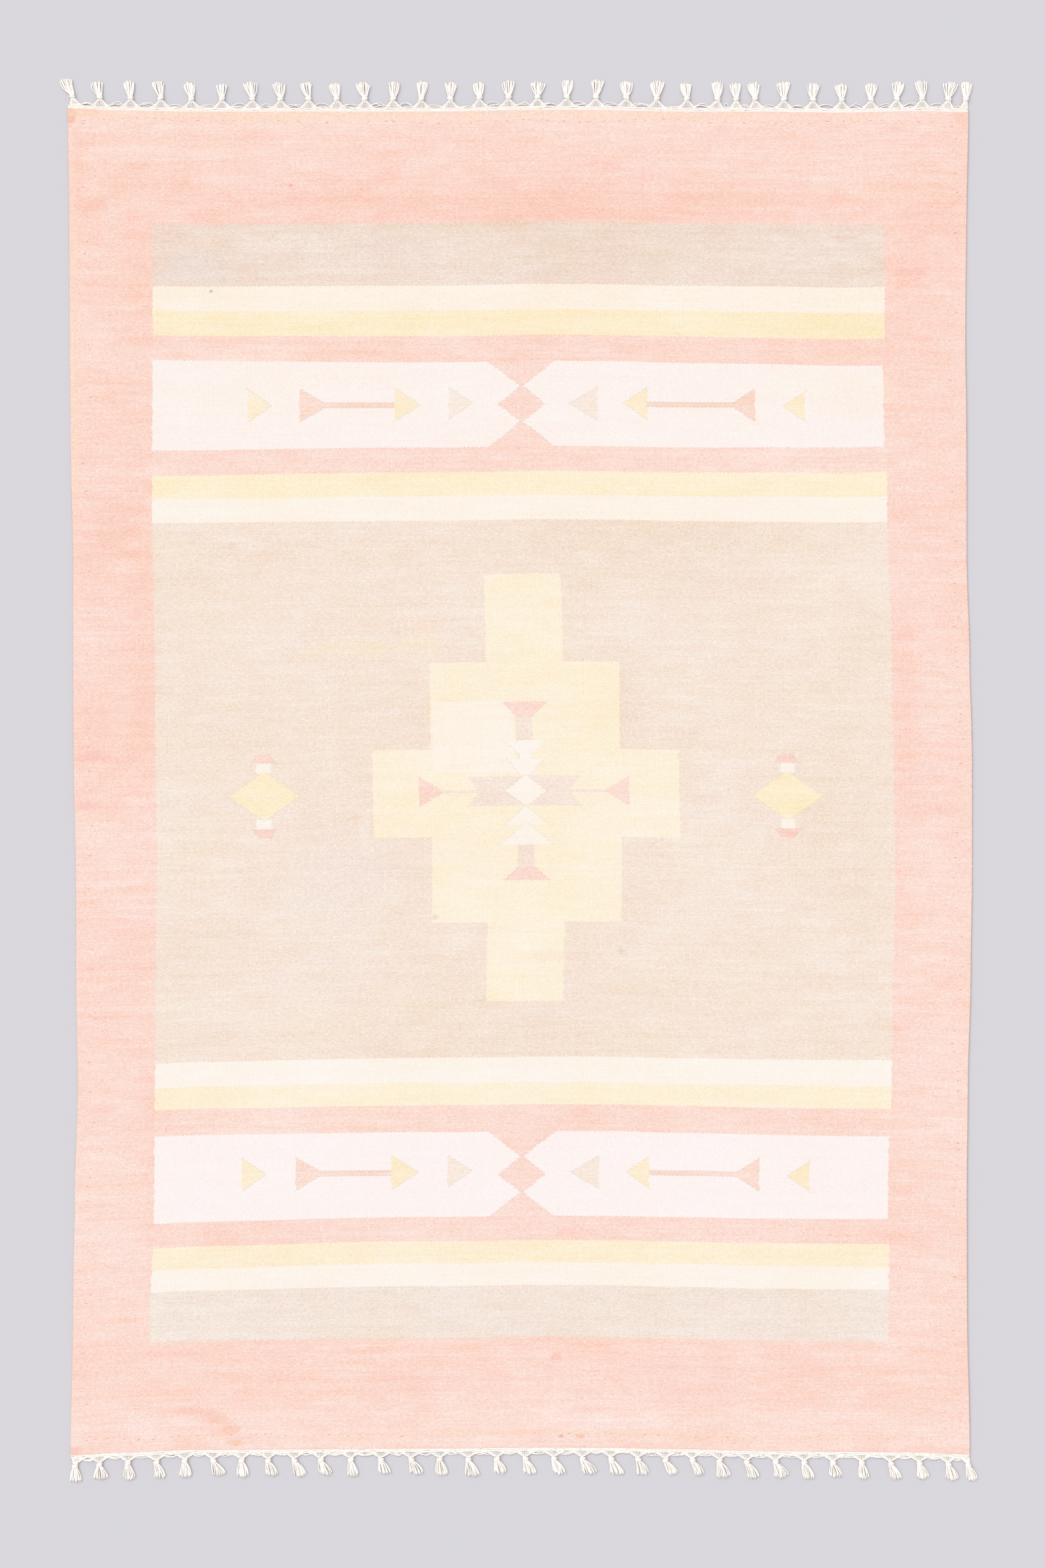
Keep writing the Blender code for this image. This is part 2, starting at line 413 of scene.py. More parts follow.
# The arrows in the white panels, from left to right: each piece's blunt end, its point, half its
# height at both, how far it sits above the panel's middle, and its colour
ARROWS = (
    (235.0, 270.0, 22.8, 0.0, 0.0, ARROW_YELLOW),
    (307.5, 341.5, 22.8, 3.4, 0.0, ARROW_PINK),
    (340.0, 439.0, 3.4, 3.4, 0.0, ARROW_PINK),
    (438.0, 474.5, 22.8, 0.0, 0.6, ARROW_YELLOW),
    (512.5, 546.5, 22.0, 0.0, 2.6, ARROW_GREY),
    (716.0, 678.5, 22.5, 0.0, 0.3, ARROW_GREY),
    (785.0, 753.0, 22.8, 0.0, 1.5, ARROW_YELLOW),
    (904.0, 784.0, 3.1, 3.1, 0.9, ARROW_PINK),
    (931.0, 902.0, 22.5, 3.1, 1.1, ARROW_PINK),
    (1001.0, 970.0, 21.8, 0.0, -0.4, ARROW_YELLOW),
)
PANEL_INSET = 0.8
PANEL_HALF_HEIGHT = 57.5
PANELS_MIDDLE = 924.5
PANEL_FROM_MIDDLE = 523.0

# At their left ends the upper panel's arrows lie further right than these, and the lower panel's
# further left and higher, and all of them less so towards the right
UPPER_SLIP = -4.2
LOWER_SLIP = 7.6
LOWER_RISE = 4.6
LOWER_RISE_RIGHT = 2.5
SLIP_FROM = 190.0
UPPER_SLIP_TO = 610.0
LOWER_SLIP_TO = 960.0

# The hourglass between the arrows, from its middle outwards: start, stop, half its width at both,
# and its colour
HOURGLASS_MIDDLE = 613.5
HOURGLASS = (
    (0.0, 24.2, 32.0, 1.5, PALE_PINK),
    (24.2, 58.5, 1.5, 45.5, PALE_PINK),
)
LOWER_HOURGLASS_SLIP = 4.2

# The stepped medallion: three blocks laid over one another, each with its half width, start and stop
MEDALLION_MIDDLE = 611.0
MEDALLION_STEPS = ((52.0, 632.3, 1212.4), (128.3, 751.3, 1104.6), (207.7, 869.4, 988.6))

# Where the weaver took up a paler lot of yellow yarn, left of its middle line
PALE_YELLOW = "FEF5E6"
PALE_LOT = (804.0, 900.0, 541.0, 54.0)

# What stands on the medallion's middle line, from the top down: start, stop, half its width at
# both, and its colour
TOTEM = (
    (805.6, 825.5, 30.8, 10.9, CORAL),
    (825.5, 858.4, 10.4, 10.4, LAVENDER),
    (858.4, 876.5, 29.4, 9.0, WARM_WHITE),
    (876.5, 883.5, 7.2, 7.2, WARM_WHITE),
    (883.5, 905.0, 25.0, 7.2, WARM_WHITE),
    (905.3, 927.2, 0.5, 28.5, WARM_WHITE),
    (927.2, 947.3, 28.5, 0.5, WARM_WHITE),
    (947.3, 973.5, 0.5, 30.0, WARM_WHITE),
    (972.5, 1000.3, 4.0, 36.2, WARM_WHITE),
    (1000.3, 1029.0, 10.4, 10.4, LAVENDER),
    (1029.0, 1048.5, 10.4, 31.7, CORAL),
)

# What lies across it, from its middle outwards: start, stop, half its height at both, its colour
CROSSBAR_MIDDLE = 608.6
CROSSBAR_DOWN = 926.6
CROSSBAR = (
    (0.0, 78.3, 20.4, 20.4, LAVENDER),
    (60.4, 78.4, 0.0, 20.5, MEDALLION_YELLOW),
    (60.0, 111.0, 2.1, 2.1, LAVENDER),
    (111.0, 142.0, 2.1, 20.4, CORAL),
)

# The diamonds at both sides of the field, from their middles outwards
SIDE_DIAMOND_OFFSET = 354.5
SIDE_DIAMOND_DOWN = 930.0
SIDE_CORAL = "FCD8CA"
SIDE_DIAMOND = (
    (0.0, 33.8, 48.0, 0.0, SIDE_YELLOW),
    (31.4, 44.4, 10.4, 10.4, WARM_WHITE),
    (44.4, 56.5, 16.5, 8.0, SIDE_CORAL),
)


def linear(colour):
    """An sRGB hex colour as linear red, green, blue and alpha."""
    parts = [int(colour[first:first + 2], 16) / 255 for first in (0, 2, 4)]
    bent = [part / 12.92 if part <= 0.04045 else ((part + 0.055) / 1.055) ** 2.4 for part in parts]
    return (*bent, 1.0)


def add(tree, kind, inputs=(), output=0, **settings):
    """Adds a node with its settings and links, and returns one of its outputs."""
    node = tree.nodes.new("ShaderNode" + kind)
    for name, value in settings.items():
        setattr(node, name, value)
    for place, value in inputs.items() if isinstance(inputs, dict) else enumerate(inputs):
        if isinstance(value, bpy.types.NodeSocket):
            tree.links.new(value, node.inputs[place])
        else:
            node.inputs[place].default_value = value
    return node.outputs[output]


# Flat-woven cotton, dyed in the yarn: matt, a little hairy, with no shine but at a glance along it
cotton_weave = bpy.data.materials.new("flat_woven_dyed_cotton")
cotton_weave.use_nodes = True
weave = cotton_weave.node_tree
cotton = weave.nodes["Principled BSDF"]
cotton.inputs["Roughness"].default_value = 0.92
cotton.inputs["IOR"].default_value = 1.5
cotton.inputs["Specular IOR Level"].default_value = 0.2
cotton.inputs["Sheen Weight"].default_value = 0.08
cotton.inputs["Sheen Roughness"].default_value = 0.6


def maths(operation, *values):
    """A sum on numbers that differ from place to place in the weave."""
    return add(weave, "Math", values, operation=operation)


in_weave = add(weave, "UVMap", uv_map="OFBake")
shares = weave.nodes.new("ShaderNodeSeparateXYZ")
weave.links.new(in_weave, shares.inputs[0])
across = maths("MULTIPLY", shares.outputs["X"], CLOTH_WIDTH)
down = maths("MULTIPLY", maths("SUBTRACT", 1.0, shares.outputs["Y"]), CLOTH_LENGTH)

# Turning wefts step from rib to rib, and wander by a rib or so where a colour ends at a warp
TURN_WANDER = 5.0
TURN_LENGTH = 9.0
TURN_SEED = 3.0
turns = add(weave, "CombineXYZ", (TURN_SEED, maths("DIVIDE", down, TURN_LENGTH)))
wander = add(weave, "TexNoise", {"Vector": turns, "Scale": 1.0, "Detail": 1.0}, noise_dimensions="2D")
wandered = maths("MULTIPLY_ADD", maths("SUBTRACT", wander, 0.5), TURN_WANDER, across)
rib = maths("FLOOR", maths("DIVIDE", wandered, RIB_PITCH))
at_rib = maths("MULTIPLY", maths("ADD", rib, 0.5), RIB_PITCH)
odd_rib = maths("MODULO", rib, 2.0)
PICK_STEP = 0.8
at_pick = maths("MULTIPLY_ADD", odd_rib, PICK_STEP, down)

# How far each place is from the nearest slant, starting far away
slit = 100.0


def mixed(share, first, second):
    """Two colours mixed by a share of the second."""
    colours = [linear(colour) if isinstance(colour, str) else colour for colour in (first, second)]
    return add(weave, "Mix", {0: share, 6: colours[0], 7: colours[1]}, 2, data_type="RGBA")


def wedge(along, off_line, start, stop, half_start, half_stop):
    """How far inside a wedge a place lies, and how far it is from the wedge's slanting sides."""
    half = add(weave, "MapRange", (along, start, stop, half_start, half_stop), clamp=False)
    from_sides = maths("SUBTRACT", half, off_line)
    off_middle = maths("ABSOLUTE", maths("SUBTRACT", along, (start + stop) / 2))
    from_ends = maths("SUBTRACT", abs(stop - start) / 2, off_middle)
    slant = maths("MAXIMUM", maths("ABSOLUTE", from_sides), maths("MULTIPLY", from_ends, -1.0))
    return maths("MINIMUM", from_sides, from_ends), slant


def woven_in(ground, inside, colour):
    """The weave's colours with another laid in where a place is inside an outline."""
    return mixed(maths("GREATER_THAN", inside, 0.0), ground, colour)


def wedges_in(ground, slit, along, off_line, wedges):
    """The weave's colours with wedges laid in along a line, and the slits with their slants'."""
    for start, stop, half_start, half_stop, colour in wedges:
        inside, slant = wedge(along, off_line, start, stop, half_start, half_stop)
        ground = woven_in(ground, inside, colour)
        slit = maths("MINIMUM", slit, slant)
    return ground, slit


# Stripes and white panels
colours = linear(PINK)
for start, colour in STRIPES:
    colours = mixed(maths("GREATER_THAN", at_pick, start), colours, colour)
from_middle = maths("SUBTRACT", at_pick, PANELS_MIDDLE)
off_panel = maths("ABSOLUTE", maths("SUBTRACT", maths("ABSOLUTE", from_middle), PANEL_FROM_MIDDLE))
inset = maths("MULTIPLY", maths("LESS_THAN", off_panel, PANEL_HALF_HEIGHT), PANEL_INSET)
in_field = maths("SUBTRACT", maths("SUBTRACT", (FIELD_RIGHT - FIELD_LEFT) / 2, inset),
                 maths("ABSOLUTE", maths("SUBTRACT", at_rib, (FIELD_RIGHT + FIELD_LEFT) / 2)))
colours = mixed(maths("GREATER_THAN", in_field, 0.0), PINK, colours)
off_dyed = maths("ABSOLUTE", maths("SUBTRACT", down, (DYED_TO + DYED_FROM) / 2))
undyed = maths("GREATER_THAN", off_dyed, (DYED_TO - DYED_FROM) / 2)

# Both panels are drawn at once, folded about the rug's middle
in_lower = maths("GREATER_THAN", from_middle, 0.0)
upper_slip = add(weave, "MapRange", (at_rib, SLIP_FROM, UPPER_SLIP_TO, UPPER_SLIP, 0.0))
lower_slip = add(weave, "MapRange", (at_rib, SLIP_FROM, LOWER_SLIP_TO, LOWER_SLIP, 0.0))
lower_rise = add(weave, "MapRange", (at_rib, SLIP_FROM, HOURGLASS_MIDDLE, LOWER_RISE, LOWER_RISE_RIGHT))
slip = add(weave, "Mix", {0: in_lower, 2: upper_slip, 3: lower_slip})
along_panel = maths("ADD", at_rib, slip)
risen = maths("MULTIPLY_ADD", in_lower, lower_rise, from_middle)
for *sizes, rise, colour in ARROWS:
    folded = maths("ABSOLUTE", maths("ADD", risen, rise))
    off_line = maths("ABSOLUTE", maths("SUBTRACT", folded, PANEL_FROM_MIDDLE))
    colours, slit = wedges_in(colours, slit, along_panel, off_line, [(*sizes, colour)])
hourglass_middle = maths("MULTIPLY_ADD", in_lower, -LOWER_HOURGLASS_SLIP, HOURGLASS_MIDDLE)
off_hourglass = maths("ABSOLUTE", maths("SUBTRACT", at_rib, hourglass_middle))
colours, slit = wedges_in(colours, slit, off_panel, off_hourglass, HOURGLASS)

# Medallion
off_axis = maths("ABSOLUTE", maths("SUBTRACT", at_rib, MEDALLION_MIDDLE))
in_medallion = -CLOTH_LENGTH
for half_width, start, stop in MEDALLION_STEPS:
    off_centre = maths("ABSOLUTE", maths("SUBTRACT", at_pick, (start + stop) / 2))
    inside = maths("MINIMUM", maths("SUBTRACT", half_width, off_axis),
                   maths("SUBTRACT", (stop - start) / 2, off_centre))
    in_medallion = maths("MAXIMUM", in_medallion, inside)
colours = woven_in(colours, in_medallion, MEDALLION_YELLOW)
start, stop, middle, half_width = PALE_LOT
off_lot = maths("ABSOLUTE", maths("SUBTRACT", at_rib, middle))
inside, slant = wedge(at_pick, off_lot, start, stop, half_width, half_width)
colours = woven_in(colours, maths("MINIMUM", inside, in_medallion), PALE_YELLOW)
off_crossbar = maths("ABSOLUTE", maths("SUBTRACT", at_pick, CROSSBAR_DOWN))
along_crossbar = maths("ABSOLUTE", maths("SUBTRACT", at_rib, CROSSBAR_MIDDLE))
for *sizes, colour in CROSSBAR:
    inside, slant = wedge(along_crossbar, off_crossbar, *sizes)
    colours = woven_in(colours, inside, colour)
colours, slit = wedges_in(colours, slit, at_pick, off_axis, TOTEM)

# Side diamonds
off_diamond = maths("ABSOLUTE", maths("SUBTRACT", off_axis, SIDE_DIAMOND_OFFSET))
up_diamond = maths("ABSOLUTE", maths("SUBTRACT", at_pick, SIDE_DIAMOND_DOWN))
colours, slit = wedges_in(colours, slit, up_diamond, off_diamond, SIDE_DIAMOND)


def clouded(width, height, seed, detail=2.0):
    """Soft noise from about -1 to 1, in clouds of this width and height."""
    scaled = (maths("DIVIDE", across, width), maths("DIVIDE", down, height))
    place = add(weave, "CombineXYZ", (*scaled, seed))
    found = add(weave, "TexNoise", {"Vector": place, "Scale": 1.0, "Detail": detail})
    return add(weave, "MapRange", (found, 0.2, 0.8, -1.0, 1.0), clamp=False)


# Dye takes unevenly: in streaks along the wefts where one length of yarn follows another, in broad
# clouds, and in patches. The depth of a colour is the power that its share of white is raised to.
# These are the streaks and clouds: width, height, seed and strength.
UNEVEN_DYE = (
    (60, 3.0, 1.0, 0.15),
    (110, 1.6, 8.0, 0.12),
    (300, 8.0, 2.0, 0.14),
    (45, 16, 3.0, 0.16),
    (190, 130, 4.0, 0.18),
)
RAGGED_RIM = 0.45
depth = 1.0
for *cloud, strength in UNEVEN_DYE:
    depth = maths("MULTIPLY_ADD", clouded(*cloud), strength, depth)
ragged = maths("MULTIPLY", clouded(46, 22, 5.0, 3.0), RAGGED_RIM)


def soft_patch(centre_across, centre_down, reach_across, reach_down):
    """From 1 in the middle of a patch down to 0 at its ragged rim."""
    off_centre = add(weave, "CombineXYZ", (
        maths("MULTIPLY_ADD", across, 1 / reach_across, -centre_across / reach_across),
        maths("MULTIPLY_ADD", down, 1 / reach_down, -centre_down / reach_down),
    ))
    distance = add(weave, "VectorMath", (off_centre,), 1, operation="LENGTH")
    out = maths("ADD", distance, ragged)
    return add(weave, "MapRange", (out, 1.0, 0.2, 0.0, 1.0), interpolation_type="SMOOTHSTEP")


for *place, change in DYE_PATCHES:
    depth = maths("MULTIPLY_ADD", soft_patch(*place), change, depth)
dyed = mixed(undyed, add(weave, "Gamma", (colours, depth)), UNDYED)
for *place, colour, strength in STAINS:
    dyed = mixed(maths("MULTIPLY", soft_patch(*place), strength), dyed, colour)

# Warmer and cooler clouds, from washing
WARMTH = 0.022
BLUSH = 0.010
warm_clouds = clouded(120, 70, 6.0)
blushed = maths("MULTIPLY_ADD", clouded(85, 60, 7.0), BLUSH, 1.0)
warmed = maths("MULTIPLY_ADD", warm_clouds, WARMTH, blushed)
tint = add(weave, "CombineColor", (1.0, blushed, warmed))

# Each stretch of weft between two warps is a small round bead, half a step up or down from those on
# the ribs beside it, and shadow lies between them, painted into the colour as darker shade as well
# as bumped. Beads are 1.1 mm high in the real cloth, too fine to show, and are drawn a third higher.
# Deeper dyes show the grain of the beads and the painted shade more.
BEAD_HEIGHT = 1.5
BEAD_DEPTH = 0.22
GRAIN = 0.122
DYE_GRAIN = 0.18
GAP_SHADE = 0.12
MEAN_RELIEF = 0.52
DASH_RIBS = 1.6
BEAD_SHARE = 0.6
DASH_SHARE = 1.2
COARSER_DYE = 4.2
COARSEST = 0.9
true_rib = maths("FLOOR", maths("DIVIDE", across, RIB_PITCH))
across_rib = maths("FRACT", maths("DIVIDE", across, RIB_PITCH))
half_step = maths("MULTIPLY", maths("MODULO", true_rib, 2.0), 0.5)
bead_count = maths("ADD", half_step, maths("DIVIDE", down, BEAD_HEIGHT))
round_rib = maths("SINE", maths("MULTIPLY", across_rib, math.pi))
round_bead = maths("SINE", maths("MULTIPLY", maths("FRACT", bead_count), math.pi))
relief = maths("MULTIPLY", maths("MULTIPLY_ADD", round_rib, 0.5, 0.5), round_bead)
beads = add(weave, "Bump", {"Strength": 0.6, "Distance": BEAD_DEPTH * MM, "Height": relief})
weave.links.new(beads, cotton.inputs["Normal"])
cell = add(weave, "CombineXYZ", (true_rib, maths("FLOOR", bead_count)))
bead_tone = add(weave, "TexWhiteNoise", {"Vector": cell}, noise_dimensions="2D")

# A length of yarn looks alike over a few ribs, so that the grain runs in short wavy dashes too
dashes = add(weave, "CombineXYZ", (maths("DIVIDE", true_rib, DASH_RIBS), bead_count))
dash = add(weave, "TexNoise", {"Vector": dashes, "Scale": 1.0, "Detail": 0.0}, noise_dimensions="2D")
centred_dash = maths("MULTIPLY_ADD", dash, DASH_SHARE, 0.5 - (BEAD_SHARE + DASH_SHARE) / 2)
grain = maths("MULTIPLY_ADD", bead_tone, BEAD_SHARE, centred_dash)
split = weave.nodes.new("ShaderNodeSeparateColor")
weave.links.new(dyed, split.inputs[0])
deepness = maths("SUBTRACT", 1.0, split.outputs["Green"])
coarseness = maths("MINIMUM", COARSEST, maths("MULTIPLY", deepness, COARSER_DYE))
# Painted shade: the colour is darkened between the beads and ribs, where the relief is low, and
# lightened on their crowns. It is added to the beads' random grain of tone.
painted_gap_shade = maths("MULTIPLY", maths("SUBTRACT", relief, MEAN_RELIEF), GAP_SHADE)
grain_and_painted_gap_shade = maths("MULTIPLY_ADD", maths("SUBTRACT", grain, 0.5), GRAIN, painted_gap_shade)
grain_and_painted_shade = maths("MULTIPLY_ADD", grain_and_painted_gap_shade, coarseness, 1.0)

# Small slits are left between wefts that turn back along a slant, and the shade in them is painted
# into the colour as darker dots along the slants
SLIT_REACH = 0.9
SLIT_SHADE = 0.16
at_slit = maths("LESS_THAN", slit, SLIT_REACH)
painted_slit_shade = maths("MULTIPLY", at_slit, maths("MULTIPLY", grain, SLIT_SHADE))
grain_and_painted_shade = maths("SUBTRACT", grain_and_painted_shade, painted_slit_shade)


def times(first, second):
    """Two colours multiplied."""
    return add(weave, "Mix", {0: 1.0, 6: first, 7: second}, 2, data_type="RGBA", blend_type="MULTIPLY")


grained = add(weave, "Gamma", (dyed, maths("MULTIPLY_ADD", grain, -DYE_GRAIN, 1 + DYE_GRAIN / 2)))
# The dyed colour is tinted, then darkened by the grain and the painted shade of the beads and slits
shaded = times(times(grained, tint), add(weave, "CombineColor", (grain_and_painted_shade, grain_and_painted_shade, grain_and_painted_shade)))
weave.links.new(times(shaded, linear(WHITE_COTTON)), cotton.inputs["Base Color"])

cloth.data.materials.append(cotton_weave)

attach(cloth, "root")
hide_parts("woven_cloth")

# Yarn ends
# Each length of the border's weft is started and finished by tucking its end in between the warps
# near an edge of the cloth. The ends show as short darker specks along all four edges.

YARN_END_RADIUS = 0.5
YARN_END_SINK = 0.35
HALF_LENGTH = (0.8, 1.9)
SLOPE = (-0.4, 0.4)
FULLNESS = (0.7, 1.15)
DIVE = 0.5
DIVING_SHARE = 0.6
FIRST_FROM_CORNER = 22.0
LAST_FROM_CORNER = 20.0

# For each edge: nearest and farthest place of a speck from it, and least and greatest step between
# two specks
TUCKED_ENDS = (
    ("top", 11.0, 20.0, 9.0, 27.0),
    ("bottom", 17.0, 25.0, 7.0, 26.0),
    ("left", 12.0, 31.0, 9.0, 44.0),
    ("right", 8.0, 30.0, 7.0, 38.0),
)


def yarn_piece(name, routes, radius, material, sides=6):
    """Yarns along some routes as one mesh. A route's points are x, y, z and a share of the radius."""
    curve = bpy.data.curves.new(name, "CURVE")
    curve.dimensions = "3D"
    curve.bevel_depth = radius * MM
    curve.bevel_resolution = sides // 2 - 2
    curve.use_fill_caps = True
    for route in routes:
        spline = curve.splines.new("POLY")
        spline.points.add(len(route) - 1)
        for point, (x, y, z, share) in zip(spline.points, route):
            point.co = (x * MM, y * MM, z * MM, 1)
            point.radius = share
    guide = bpy.data.objects.new(name + "_guide", curve)
    bpy.context.scene.collection.objects.link(guide)
    shaped = guide.evaluated_get(bpy.context.evaluated_depsgraph_get())
    data = bpy.data.meshes.new_from_object(shaped)
    data.name = name
    bpy.data.objects.remove(guide)
    mesh = bmesh.new()
    mesh.from_mesh(data)
    bmesh.ops.remove_doubles(mesh, verts=mesh.verts[:], dist=0.00001)
    mesh.to_mesh(data)
    mesh.free()
    data.shade_smooth()
    data.materials.clear()
    data.materials.append(material)
    piece = bpy.data.objects.new(name, data)
    bpy.context.scene.collection.objects.link(piece)
    return piece


# The cut ends of dyed cotton yarn, where the dye is deepest and the light gets lost between fibres
cut_yarn = bpy.data.materials.new("cut_ends_of_dyed_yarn")
cut_yarn.use_nodes = True
cut = cut_yarn.node_tree.nodes["Principled BSDF"]
cut.inputs["Base Color"].default_value = linear("D98E72")
cut.inputs["Roughness"].default_value = 0.95
cut.inputs["Specular IOR Level"].default_value = 0.2

tucked = random.Random(5)
specks = []
for edge, nearest, farthest, least, greatest in TUCKED_ENDS:
    length = CLOTH_WIDTH if edge in ("top", "bottom") else CLOTH_LENGTH
    along = FIRST_FROM_CORNER
    inwards = tucked.uniform(nearest, farthest)
    while along < length - LAST_FROM_CORNER:
        inwards = (inwards + tucked.uniform(nearest, farthest)) / 2
        places = {
            "top": (along, inwards),
            "bottom": (along, CLOTH_LENGTH - inwards),
            "left": (inwards, along),
            "right": (CLOTH_WIDTH - inwards, along),
        }
        x, y, z = on_floor(*places[edge])
        z += CLOTH_THICKNESS - YARN_END_SINK
        half = tucked.uniform(*HALF_LENGTH)
        slope = tucked.uniform(*SLOPE)
        size = tucked.uniform(*FULLNESS)
        specks.append([
            (x - half - DIVE, y - slope, z - DIVE, DIVING_SHARE * size),
            (x - half, y - slope, z, size),
            (x + half, y + slope, z, size),
            (x + half + DIVE, y + slope, z - DIVE, DIVING_SHARE * size),
        ])
        along += tucked.uniform(least, greatest)
yarn_ends = yarn_piece("tucked_yarn_ends", specks, YARN_END_RADIUS, cut_yarn)
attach(yarn_ends, "root")
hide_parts("woven_cloth")

# Fringe
# The rug's warps run on past its ends. A few rows of undyed weft hold the weave there, and each
# group of warps is drawn together and tied in an overhand knot, and its ends are cut short.

# Knots by number from the left: place from the rug's middle, and lean of the cut ends to the right
TOP_KNOTS = (
    (1, -608, -9), (2, -571, -3), (7, -364, -2), (13, -135, 1), (19, 102, 1),
    (23, 267, -1), (25, 318, 2), (29, 475, 2), (32, 580, 0), (33, 604, 2),
)
BOTTOM_KNOTS = (
    (1, -605, -2), (2, -572, 1), (7, -379, 5), (10, -272, 7), (13, -149, 6),
    (20, 122, 8), (25, 306, 8), (32, 580, 6), (33, 607, 2),
)

# The header: how far its cords lie past the cloth's end, and how they go over and under the warps
HEADER_CORDS = (-0.6, 0.5, 1.6, 2.7)
HEADER_RADIUS = 0.66
HEADER_INSET = 0.5
HEADER_RISE = 2.0
HEADER_WEAVE = 0.35
HEADER_WANDER = 0.5
HEADER_WANDER_LENGTH = 9
HEADER_CORD_SEED = 5.3

# The web: from the cloth's end to the neck of the knot
WEB_YARNS = 18
WEB_RADIUS = 0.5
WEB_STEPS = 8
WEB_INSET = 0.6
WEB_ROOT_STRAY = 0.4
WEB_START = 1.4
WEB_START_RISE = 0.7
NECK_GAP = 0.6
NECK_WIDTH = 2.2
NECK_RISE = 1.3
NECK_DROP = 0.2
NECK_IN_KNOT = 1.0

# The knot: wraps that lean to one side, the outer ones a little smaller
KNOT_MIDDLE = 3.1
KNOT_START = 1.6
KNOT_LEAN = 0.1
KNOT_WRAPS = 4
WRAP_PITCH = 1.45
WRAP_RADIUS = 0.85
WRAP_WIDTH = 3.5
WRAP_RISE = 2.2
WRAP_STEPS = 18
WRAP_TURNS = 1.06
WRAP_OFFSET = 0.3
WRAP_TILT = (0.6, 1.3)
WRAP_TILT_VARIES = 0.5
OUTER_WRAP = 0.9

# The tuft: cut ends that flare as they leave the knot, an upper and a lower layer of them
TUFT_YARNS = 18
TUFT_RADIUS = 0.8
TUFT_STEPS = 7
TUFT_START = 5.0
TUFT_LENGTH = 17.0
TUFT_LENGTH_VARIES = 1.8
TUFT_IN_KNOT = 3.2
TUFT_WIDTH = (12.5, 19.5)
YARN_LENGTH_VARIES = (-1.6, 1.4)
TIP_STRAY = 1.3
BEND = 1.2
START_WIDTH = 2.4
START_RISE = 1.4
UPPER_TIP_RISE = (1.7, 2.6)
LOWER_TIP_RISE = 0.8
LEAN_VARIES = 3.5
ROUND_TIP = 2.6
FLARE = 1.6
DROOP = 0.7
ROOT_SHARE = 0.8
TIP_SHARE = 1.1

# The yarns that missed a knot: where they leave the header, and how they hang
LOOSE_RADIUS = 0.6
LOOSE_STEPS = 10
LOOSE_START = 2.2
LOOSE_LEAST = 3.0
LOOSE_MOST_SHARE = 0.8
LOOSE_FROM_KNOT = (2.5, 11)
LOOSE_SWING = 1.2
LOOSE_RISE = 0.8
LOOSE_LAYER = 0.5
LOOSE_HANG_RISE = 0.6
LOOSE_HANG = 0.7

# For each end: its knots, how far its webs reach, how they bow, how many loose yarns hang between
# two tassels, and its seed
FRINGES = (
    ("top", TOP_KNOTS, 8.6, 1.7, 3, 11),
    ("bottom", BOTTOM_KNOTS, 6.0, 1.1, 7, 23),
)

# Undyed, unbleached cotton spun and plied: matt off-white, creamier from yarn to yarn, with the
# slanting lines of its twist
TWIST = 1.5
TWIST_DEPTH = 0.08
TONE_LENGTH = 3.846
CREAMIEST = "F8F1E8"
WHITEST = "FCF8F3"
cotton_yarn = bpy.data.materials.new("undyed_cotton_yarn")
cotton_yarn.use_nodes = True
spun = cotton_yarn.node_tree
yarn = spun.nodes["Principled BSDF"]
yarn.inputs["Roughness"].default_value = 0.95
yarn.inputs["Specular IOR Level"].default_value = 0.2
yarn.inputs["Sheen Weight"].default_value = 0.08
place = add(spun, "TexCoord", output=3)
tone = add(spun, "TexNoise", {"Vector": place, "Scale": 1 / (TONE_LENGTH * MM), "Detail": 2.0})
clear_tone = add(spun, "MapRange", (tone, 0.35, 0.65, 0.0, 1.0))
tones = {0: clear_tone, 6: linear(WHITEST), 7: linear(CREAMIEST)}
colour = add(spun, "Mix", tones, 2, data_type="RGBA")
spun.links.new(colour, yarn.inputs["Base Color"])
slanted = spun.nodes.new("ShaderNodeSeparateXYZ")
spun.links.new(place, slanted.inputs[0])
diagonal = add(spun, "Math", (slanted.outputs["X"], slanted.outputs["Y"]), operation="ADD")
turned = add(spun, "Math", (diagonal, 2 * math.pi / (TWIST * MM)), operation="MULTIPLY")
ply = add(spun, "Math", (turned,), operation="SINE")
twisted = add(spun, "Bump", {"Strength": 0.5, "Distance": TWIST_DEPTH * MM, "Height": ply})
spun.links.new(twisted, yarn.inputs["Normal"])


def edge_place(x, end):
    """How far up the floor an end of the cloth lies, at a place on the floor."""
    corners = row_corners(0 if end == "top" else CLOTH_LENGTH)
    share = (x - corners[0]) / (corners[-1] - corners[0])
    return end_place(min(1.0, max(0.0, share)) * CLOTH_WIDTH, end)


def past_end(end, base, x, outwards, z, share=1.0):
    """A point of a yarn that is this far past the cloth's end, measured at the yarn's base."""
    return (x, edge_place(base, end) + outwards * (1 if end == "top" else -1), z, share)


def header_cords(end, left, right, seed):
    """Undyed wefts past the last dyed one, each over one warp and under the next."""
    cords = []
    for cord, outwards in enumerate(HEADER_CORDS):
        route = []
        for step in range(RIBS + 1):
            x = left + HEADER_INSET + (right - left - 2 * HEADER_INSET) * step / RIBS
            z = HEADER_RISE + HEADER_WEAVE * (-1) ** (step + cord)
            place = Vector((x / HEADER_WANDER_LENGTH, cord * HEADER_CORD_SEED, seed))
            wandering = outwards + HEADER_WANDER * noise.noise(place)
            route.append(past_end(end, x, x, wandering, z))
        cords.append(route)
    return cords


